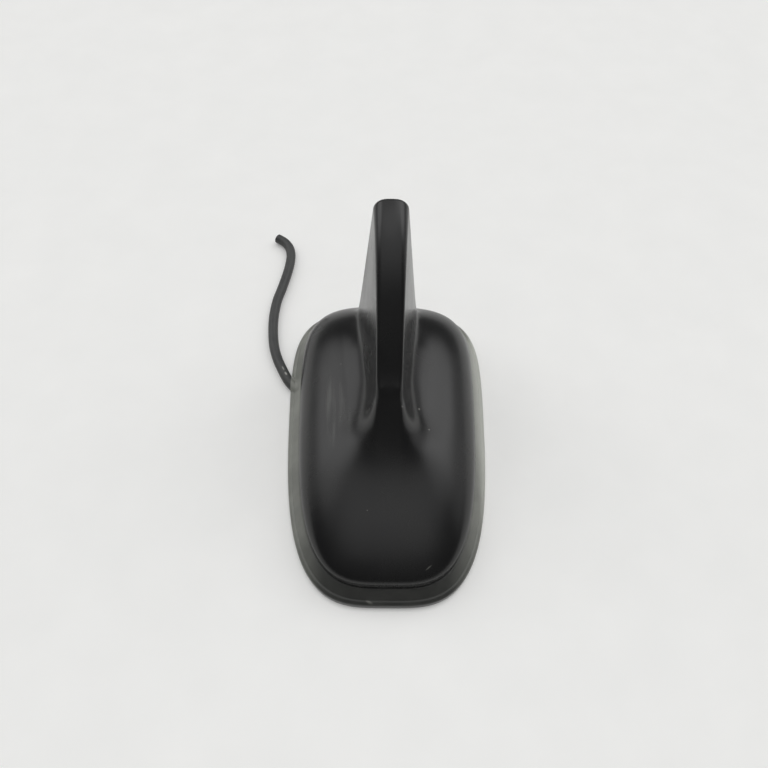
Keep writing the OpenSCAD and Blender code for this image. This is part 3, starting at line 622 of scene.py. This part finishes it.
def edge_fall(q, r):
    """Fall past the start of an edge: a round of radius r, then the drafted flank."""
    side = r*math.cos(flank_draft)
    round_part = r - np.sqrt(np.maximum(0, r*r - q*q))
    flat_part = r*(1 - math.sin(flank_draft)) + (q - side)/tan_draft
    return np.where(q <= 0, 0, np.where(q < side, round_part, flat_part))


def fin_z(x, y, s):
    """Fin: the leading edge's height, less the fall of its rounded sides and of its back. The fall
    goes by the distance outside the line that the corners are rounded from, which counts for more
    behind, where the draft is less."""
    not_zero = 1e-9
    gx = np.maximum(0, np.abs(x) - (ridge_half(y) - s - corner_r(s)))
    gy = np.maximum(0, y - (fin_back_y - s - corner_r(s)))*back_stretch
    g = np.hypot(gx, gy)
    share = np.where(g > 0, gy**2/np.maximum(g, not_zero)**2, 0)
    edge = mix(edge_r, edge_tip_r, np.clip(ridge_t(y), 0, 1)**2)
    r = mix(edge, corner_r(s), share)
    q = g - corner_r(s) + r*math.tan(math.pi/4 - flank_draft/2)
    crown = mix(ridge_crown, tip_crown, np.clip(ridge_t(y), 0, 1)**2)
    crown = crown*np.minimum(1, np.abs(x)/ridge_half(y))**2
    back = back_round_h*np.clip((y - fin_back_y + back_round_l)/back_round_l, 0, 1)**2
    return ridge_z(y) - ridge_wall*s - crown - back - edge_fall(q, r)


def smooth(t):
    """From 0 to 1 with a level start and end: three squares less two cubes."""
    t = np.clip(t, 0, 1)
    return t*t*(3 - 2*t)


def apron_z(x, y, dome):
    """Apron beside the fin's foot: its height times a power of what is left of its width. It runs on
    a little into the fin, and is nothing across the leading edge."""
    drop = np.maximum(0, ridge_z(np.clip(y, fin_foot_y, fin_back_y)) - dome)
    beside = np.maximum(-apron_in, np.abs(x) - ridge_half(y) - tan_draft*drop)
    share = smooth(np.interp(y, apron_ends, [0, 1, 1, 0]))*smooth((np.abs(x) - apron_x)/apron_in)
    return share*apron_h*np.clip(1 - beside/apron_w, 0, None)**apron_power


def skin_z(x, y, s):
    """The dome with its apron, and the fin, with a soft hollow between them. The inside has no apron."""
    dome = dome_z(x, y, s)
    apron = apron_z(x, y, dome) if s == 0 else 0
    return soft_max(dome + apron, fin_z(x, y, s*fin_wall/wall), fillet - s)


# Columns run from the fin's middle plane out to the foot of the housing, counted from the nose:
# some round the front corner, some along the side, some round the back corner and over the back.
# ray_bunching is in degrees, and front_stretch draws the rings out forwards.
corner_steps = 24
side_steps = 110
back_steps = 8
back_bulge = 0.3
ray_bunching = 14
front_stretch = 0.35
half_turn = 2*corner_steps + side_steps + back_steps
rays = 2*half_turn
turn_index = np.arange(rays)
mirrored = np.minimum(turn_index, rays - turn_index)
side_sign = np.where(turn_index <= half_turn, 1, -1)


def ray_directions(index, count):
    """Directions from the widest place. A sine of twice the turn brings them closer together at
    the nose and the tail."""
    t = 2*np.pi*index/count
    t = t - math.radians(ray_bunching)*np.sin(2*t)
    return np.stack([np.sin(t), -np.cos(t)], -1)


def anchors(s):
    """Where the columns leave the leading edge: x and y of the centre that each turns round, its
    direction, and the radii of the corner and of the edge there."""
    k = mirrored
    across = np.clip((half_turn - k)/back_steps, 0, 1)
    share = np.clip((k - corner_steps)/side_steps, 0, 1)
    radius = mix(foot_r, crown_r, share**2) - corner_loss*s
    front = fin_foot_y + s + radius[0]
    back = fin_back_y - s - corner_r(s)
    y = mix(front, back, share) + back_bulge*(1 - across)
    x = np.where(k == 0, 0, across*(ridge_half(y) - s - radius))
    turned_front = 90*k/corner_steps
    turned_back = 90 + 90*np.clip((k - corner_steps - side_steps)/corner_steps, 0, 1)
    turn = np.radians(np.where(k <= corner_steps, turned_front, turned_back))
    edge = mix(edge_r, edge_tip_r, share**2)
    return x, y, turn, radius, edge


# Rings round the fin lie as far in as before_edge and in_edge, which are shares of the edge's
# radius, and then past_edge outside it, in mm. Over the apron they crowd towards the fin, and on
# the dome towards the rim.
before_edge = 1.05
in_edge = 0.95
past_edge = 0.1
apron_crowding = 1.3
dome_crowding = 1.7


def skin_columns(s, counts):
    """Points of every column at the skin drawn in by s, from the middle plane to the rim. In plan
    they lie on the leading edge's top, on rings round the fin, and between the last ring and the
    rim, and skin_z gives their heights."""
    inner, crowns, edges, flanks, aprons, domes = counts
    wall_s = s*fin_wall/wall
    ax, ay, turn, radius, edge = anchors(wall_s)
    rounding = 1e-6
    stretch = np.where(turn < np.pi/2 - rounding, front_stretch, back_stretch)

    def loop(gap):
        """The ring at one gap outside the leading edge's outline."""
        out = gap + radius
        return np.stack([ax + out*np.sin(turn), ay - out*np.cos(turn)/stretch], -1)

    height = np.maximum(0, ridge_z(ay) - skirt_top - dome_h)
    foot_gap = tan_draft*height
    parts = [np.stack([ax*u, ay], -1) for u in np.linspace(0, 1, inner, endpoint=False)]
    parts += [loop(-radius + u*(radius - before_edge*edge)) for u in np.linspace(0, 1, crowns)]
    parts += [loop(mix(-in_edge*edge, past_edge, u)) for u in np.linspace(0, 1, edges)]
    parts += [loop(mix(past_edge, foot_gap, u)) for u in np.linspace(0, 1, flanks + 1)[1:]]
    parts += [loop(foot_gap + apron_w*u**apron_crowding) for u in np.linspace(0, 1, aprons + 1)[1:]]
    rim = outline_point(ray_directions(mirrored, rays), s)
    foot = parts[-1]
    parts += [mix(foot, rim, 1 - (1 - u)**dome_crowding) for u in np.linspace(0, 1, domes + 1)[1:-1]]
    plan = np.stack(parts, 1)
    z = skin_z(plan[..., 0], plan[..., 1], s)
    signs = np.stack([side_sign, np.ones(rays)], -1)
    return np.concatenate([plan*signs[:, None], z[..., None]], 2), rim*signs


# Points of a column: across the top, to the edge, round it, down the flank, over the apron's
# width, and down the dome
outer, outer_rim = skin_columns(0, (6, 6, 12, 30, 16, 40))
inner_skin, inner_rim = skin_columns(wall, (3, 3, 5, 12, 4, 16))


def at_height(rim, z, drawn_in=0.0):
    """The rim at one height, each point moved towards the widest place by drawn_in."""
    middle = np.array([0, widest_y])
    away = rim - middle
    away = away*(1 - drawn_in/np.linalg.norm(away, axis=1)[:, None])
    return np.concatenate([middle + away, np.full((len(rim), 1), z)], 1)[:, None]


# The skirt, with a worn round at its foot
foot_round = 0.3
skirt_rows = 5
skirt = [at_height(outer_rim, z) for z in np.linspace(skirt_top, gasket_h + foot_round, skirt_rows)]
skirt += [at_height(outer_rim, gasket_h + foot_round*(1 - math.sin(a)), foot_round*(1 - math.cos(a)))
          for a in np.linspace(0, math.pi/2, skirt_rows)[1:]]
inside = [at_height(inner_rim, gasket_h), at_height(inner_rim, skirt_top)]
shell = np.concatenate([outer] + skirt + inside + [inner_skin[:, ::-1]], 1)
shell_points = shell.reshape(-1, 3)
# Each face's corners are turned round, so that it looks outward
shell_faces = grid_faces(rays, shell.shape[1], closed_rows=True)[:, ::-1]


def turned_solid(profile, x, y, sides):
    """A solid of revolution round the upright axis at x, y, from pairs of radius and height. Each
    face's corners are turned round, so that it looks outward."""
    profile = np.array(profile, float)
    a = 2*np.pi*np.arange(sides)/sides
    points = np.stack([x + profile[:, :1]*np.cos(a), y + profile[:, :1]*np.sin(a),
                       np.repeat(profile[:, 1:], sides, 1)], -1)
    return points.reshape(-1, 3), grid_faces(len(profile), sides, closed_columns=True)[:, ::-1]


# Screw bosses under the dome, each with its pilot hole
boss_r = 2.6
boss_hole_r = 1.05
boss_low = 6
boss_hole_top = 12
boss_under_skin = 0.6
boss_sides = 32
boss_places = [(half_w - 10.7, 29.1 - housing_l/2), (half_w - 9.1, housing_l/2 - 20.1)]
all_points, all_faces = [shell_points], [shell_faces]
for side in (-1, 1):
    for x, y in boss_places:
        boss_top = float(skin_z(np.array(x), np.array(y), wall/2)) - boss_under_skin
        post, faces = turned_solid([(0, boss_hole_top), (boss_hole_r, boss_hole_top),
                                    (boss_hole_r, boss_low), (boss_r, boss_low),
                                    (boss_r, boss_top), (0, boss_top)], side*x, y, boss_sides)
        all_faces.append(faces + sum(len(p) for p in all_points))
        all_points.append(post)

# ABS, moulded and weathered: black with a soft sheen. Its grain of 0.15 mm is drawn at 0.3 mm so that
# it shows. Hands and cloths have left pale smears, a few specks and a short scratch; a faint painted
# highlight lies beside the fin's foot. The smears break up into streaks about 1.5 mm wide and
# fourteen times as long.
abs_black, tree, place, shader = clouded("grained_black_abs", "#0c0c0d", "#151515", cloud_mm=14,
                                         grain_mm=0.3, proud_mm=0.005, rough=(0.22, 0.29), IOR=1.46)
smear_places = [(-18.5, 6, 3, 14, 6, 0.8), (-15, 2, 2.4, 12, 0, 0.8), (-12.5, -2, 1.6, 9, 6, 0.6),
                (-17, -7, 2, 8, 2, 0.8)]
streak_place = add(tree, "ShaderNodeMapping", links={"Vector": place}, values={"Scale": (1, 0.07, 0.3)})
streaks = add(tree, "ShaderNodeTexNoise", links={"Vector": streak_place.outputs["Vector"]},
              values={"Scale": 1/(1.5*mm), "Detail": 3})
streak_share = add(tree, "ShaderNodeMapRange", links={"Value": streaks.outputs["Fac"]},
                   values={"From Min": 0.42, "From Max": 0.7, "To Min": 0.0, "To Max": 0.75})
smears = add(tree, "ShaderNodeMath", operation="MULTIPLY",
             links={0: soft_spots(tree, place, smear_places), 1: streak_share.outputs["Result"]})
blend_colour(tree, shader, smears.outputs["Value"], "#4e4f4c")
# Dust: a few cells of 3 mm hold a speck each, about 0.3 mm across
dust_cells = add(tree, "ShaderNodeTexVoronoi", links={"Vector": place}, values={"Scale": 1/(3*mm)})
chance = add(tree, "ShaderNodeSeparateColor", links={"Color": dust_cells.outputs["Color"]})
chosen = add(tree, "ShaderNodeMath", operation="GREATER_THAN", links={0: chance.outputs["Red"]},
             values={1: 0.93})
near = add(tree, "ShaderNodeMapRange", links={"Value": dust_cells.outputs["Distance"]},
           values={"From Min": 0.07, "From Max": 0.03})
dust = add(tree, "ShaderNodeMath", operation="MULTIPLY",
           links={0: chosen.outputs["Value"], 1: near.outputs["Result"]})
blend_colour(tree, shader, dust.outputs["Value"], "#6b6b66")
# Marks: three specks, a faint painted highlight at the left front corner of the fin's foot, and the
# scratch
specks_glint_and_scratch = [(3.8, -6.6, 0.3, 0.3, 0, 0.6), (9.5, -0.5, 0.4, 0.5, 0, 0.7), (12.4, -7.2, 0.35, 0.35, 0, 0.7),
         (-6.4, -4.8, 0.6, 0.9, 20, 0.22), (11.6, -47.1, 0.25, 1.5, -53, 0.3)]
blend_colour(tree, shader, soft_spots(tree, place, specks_glint_and_scratch), "#8c8c86")
make_piece("housing_moulding", np.concatenate(all_points), all_faces, abs_black,
           "housing", sharp=50)
# Four screws, driven from below, hold the plate in the housing's bosses
dress("housing_screws", plated_steel)


# Gasket. A soft ring moulded in EPDM rubber, with a ledge for the housing, a sloping face,
# a shoulder and an outer lip. Two sealing lips run round its underside.
gasket_proud = 4
gasket_lip_h = 2.7
shoulder_w = 0.6
gasket_in = 6
seat_in = wall + 0.3
plate_z = 4
groove_d = 0.8
seal_lip_w = 3


def rounded(points, radii):
    """A closed outline with each corner rounded by a quadratic curve, which starts and ends at its
    radius from the corner, or just short of half way where the side is shorter."""
    steps = 5
    points = np.array(points, float)
    out = []
    for k, radius in enumerate(radii):
        p = points[k]
        back, forward = points[k - 1] - p, points[(k + 1) % len(points)] - p
        reach = min(radius, 0.45*np.linalg.norm(back), 0.45*np.linalg.norm(forward))
        a = p + back/np.linalg.norm(back)*reach
        b = p + forward/np.linalg.norm(forward)*reach
        t = np.linspace(0, 1, steps)[:, None]
        out.append(a*(1 - t)**2 + 2*p*t*(1 - t) + b*t**2)
    return np.concatenate(out)


# The ring's section, in pairs: how far inside the housing's outline, and height
lip_round = 0.8
shoulder_z = gasket_lip_h + 0.1
shoulder_end = lip_round + shoulder_w - gasket_proud
gasket_outline = [(-gasket_proud, 0), (-gasket_proud, gasket_lip_h*0.75),
                  (-gasket_proud + lip_round, gasket_lip_h), (shoulder_end, shoulder_z),
                  (-0.7, gasket_h - 0.4), (-0.35, gasket_h), (seat_in, gasket_h),
                  (seat_in, plate_z), (gasket_in, plate_z), (gasket_in, 0),
                  (gasket_in - seal_lip_w, 0), (gasket_in - seal_lip_w - groove_d, groove_d),
                  (seal_lip_w + groove_d - gasket_proud, groove_d), (seal_lip_w - gasket_proud, 0)]
gasket_radii = [0.4, 1.2, 0.3, 0.35, 0.3, 0.15, 0.1, 0.1, 0.2, 0.4, 0.4, 0.3, 0.3, 0.4]
gasket_profile = rounded(gasket_outline, gasket_radii)

gasket_rays = 1000
directions = ray_directions(np.arange(gasket_rays), gasket_rays)
sections = [np.concatenate([outline_point(directions, s), np.full((gasket_rays, 1), z)], 1)
            for s, z in gasket_profile]
ring = np.stack(sections, 1)
# The way out for the lead: below the roof of its channel, the rubber is lifted to that roof
outlet_gap = 0.4
outlet_r = cord_radius + outlet_gap
outlet_start = np.array(cord_route[1], float)
outlet_ahead = np.array(cord_route[4], float) - outlet_start
outlet_ahead /= np.linalg.norm(outlet_ahead)
from_start = ring[..., :2] - outlet_start
ahead_by = from_start @ outlet_ahead
beside = np.abs(from_start @ np.array([outlet_ahead[1], -outlet_ahead[0]]))
roof = cord_radius + np.sqrt(np.maximum(0, outlet_r**2 - beside**2))
in_channel = (beside < outlet_r) & (ahead_by > 0)
ring[..., 2] = np.where(in_channel, np.maximum(ring[..., 2], roof), ring[..., 2])
gasket_faces = grid_faces(gasket_rays, ring.shape[1], closed_rows=True, closed_columns=True)

# EPDM rubber, moulded: dark and dry, with a sheen that shows most where it is seen edge on,
# pores of 0.4 mm, and a small nick in the lip at the front. Its long sides are painted paler, a painted
# reflection of the light that grazes them.
rubber, tree, place, shader = clouded("moulded_rubber", "#272826", "#353633", cloud_mm=8, grain_mm=0.4,
                                      proud_mm=0.008, rough=(0.34, 0.48), IOR=1.52, Sheen_Weight=1.0,
                                      Sheen_Roughness=0.35)
nick = [(-5.2, -54.2, 1.5, 0.5, -20, 0.5)]
blend_colour(tree, shader, soft_spots(tree, place, nick), "#85867f")
# Painted reflection: the colour is pale along both long sides, in patches, and fades out towards the nose
across = add(tree, "ShaderNodeSeparateXYZ", links={"Vector": place}).outputs["X"]
from_middle = add(tree, "ShaderNodeMath", operation="ABSOLUTE", links={0: across})
side_reflection_paint = add(tree, "ShaderNodeMapRange", links={"Value": from_middle.outputs["Value"]},
            interpolation_type="SMOOTHSTEP",
            values={"From Min": 17*mm, "From Max": 31*mm, "To Min": 0.0, "To Max": 0.8})
patches = add(tree, "ShaderNodeTexNoise", links={"Vector": place},
              values={"Scale": 1/(9*mm), "Detail": 6})
patchy = add(tree, "ShaderNodeMapRange", links={"Value": patches.outputs["Fac"]},
             values={"From Min": 0.35, "From Max": 0.65, "To Min": 0.72, "To Max": 1.1})
patchy_side_reflection = add(tree, "ShaderNodeMath", operation="MULTIPLY",
                   links={0: side_reflection_paint.outputs["Result"], 1: patchy.outputs["Result"]})
blend_colour(tree, shader, patchy_side_reflection.outputs["Value"], "#90928a")
# Painted highlight: the right side's outer edge is painted paler still
right_edge_highlight_paint = add(tree, "ShaderNodeMapRange", links={"Value": across}, interpolation_type="SMOOTHSTEP",
                 values={"From Min": 28*mm, "From Max": 31.5*mm, "To Min": 0.0, "To Max": 0.75})
blend_colour(tree, shader, right_edge_highlight_paint.outputs["Result"], "#c6c8c0")
make_piece("gasket_ring", ring.reshape(-1, 3), [gasket_faces], rubber, "gasket",
           sharp=40)


# Floor. A pale matt board that the antenna lies on, wide enough to be the backdrop too. It isn't
# part of the object.

# Uncoated board: off-white, with clouds of about 17 mm from its pulp
board_half = 2000
board_corners = np.array([(-1, -1, 0), (1, -1, 0), (1, 1, 0), (-1, 1, 0)])*board_half*mm
board_mesh = bpy.data.meshes.new("floor")
board_mesh.from_pydata(board_corners, [], [(0, 1, 2, 3)])
matt_board, tree, place = new_material("matt_board")
pulp_cloud = 16.7
cloud = add(tree, "ShaderNodeTexNoise", links={"Vector": place},
            values={"Scale": 1/(pulp_cloud*mm), "Detail": 8})
tone = add(tree, "ShaderNodeValToRGB", links={"Fac": cloud.outputs["Fac"]})
tone.color_ramp.elements[0].color = linear("#e6e6e4")
tone.color_ramp.elements[1].color = linear("#eeeeec")
diffuse = add(tree, "ShaderNodeBsdfDiffuse", links={"Color": tone.outputs["Color"]})
# Seen by the camera and in reflections, the board is a little brighter than its colour alone
seen = add(tree, "ShaderNodeLightPath")
seen_direct = add(tree, "ShaderNodeMath", operation="ADD",
                  links={0: seen.outputs["Is Camera Ray"], 1: seen.outputs["Is Glossy Ray"]})
seen_all = add(tree, "ShaderNodeMath", operation="ADD",
               links={0: seen_direct.outputs["Value"], 1: seen.outputs["Is Transmission Ray"]})
board_lift = 0.16
lift = add(tree, "ShaderNodeMath", operation="MULTIPLY", links={0: seen_all.outputs["Value"]},
           values={1: board_lift})
glow = add(tree, "ShaderNodeEmission", links={"Strength": lift.outputs["Value"]},
           values={"Color": (1, 1, 1, 1)})
shader = add(tree, "ShaderNodeAddShader", links={0: diffuse.outputs["BSDF"], 1: glow.outputs["Emission"]})
add(tree, "ShaderNodeOutputMaterial", links={"Surface": shader.outputs["Shader"]})
floor = bpy.data.objects.new("floor", board_mesh)
board_mesh.materials.append(matt_board)
bpy.context.scene.collection.objects.link(floor)


# Light. A soft studio sky, with no lamps: a broad window on each side behind the object, with a
# fainter one below it near the horizon, a pale ceiling over the back, and a darker front on the
# camera's side.
world = bpy.data.worlds.new("studio")
bpy.context.scene.world = world
world.use_nodes = True
tree = world.node_tree
tree.nodes.clear()
direction = add(tree, "ShaderNodeTexCoord").outputs["Generated"]
height = add(tree, "ShaderNodeSeparateXYZ", links={"Vector": direction}).outputs["Z"]
horizon_light = 0.15
overhead_light = 0.3
light = add(tree, "ShaderNodeMapRange", links={"Value": height}, interpolation_type="SMOOTHSTEP",
            values={"From Min": 0.3, "From Max": 1.0,
                    "To Min": horizon_light, "To Max": overhead_light}).outputs["Result"]
# Each area: azimuth from the rear to the right, elevation, radius of its core and of its soft edge,
# all in degrees, and the light that it adds
areas = [(-56, 39, 6, 29, 1.6),
         (50, 44, 8, 29, 1.65),
         (68, 19, 6, 26, 0.6),
         (-64, 12, 6, 22, 0.5),
         (0, 76, 10, 51, 0.7),
         (0, 77, 6, 18, 0.4)]
for azimuth, elevation, core, edge, strength in areas:
    az, el = math.radians(azimuth), math.radians(elevation)
    towards = (math.sin(az)*math.cos(el), math.cos(az)*math.cos(el), math.sin(el))
    nearness = add(tree, "ShaderNodeVectorMath", operation="DOT_PRODUCT", links={0: direction},
                   values={1: towards}).outputs["Value"]
    share = add(tree, "ShaderNodeMapRange", links={"Value": nearness},
                interpolation_type="SMOOTHSTEP",
                values={"From Min": math.cos(math.radians(edge)),
                        "From Max": math.cos(math.radians(core))}).outputs["Result"]
    light = add(tree, "ShaderNodeMath", operation="MULTIPLY_ADD", links={0: share, 2: light},
                values={1: strength}).outputs["Value"]
sky = add(tree, "ShaderNodeBackground", links={"Strength": light}, values={"Color": (1, 1, 1, 1)})
add(tree, "ShaderNodeOutputWorld", links={"Surface": sky.outputs["Background"]})
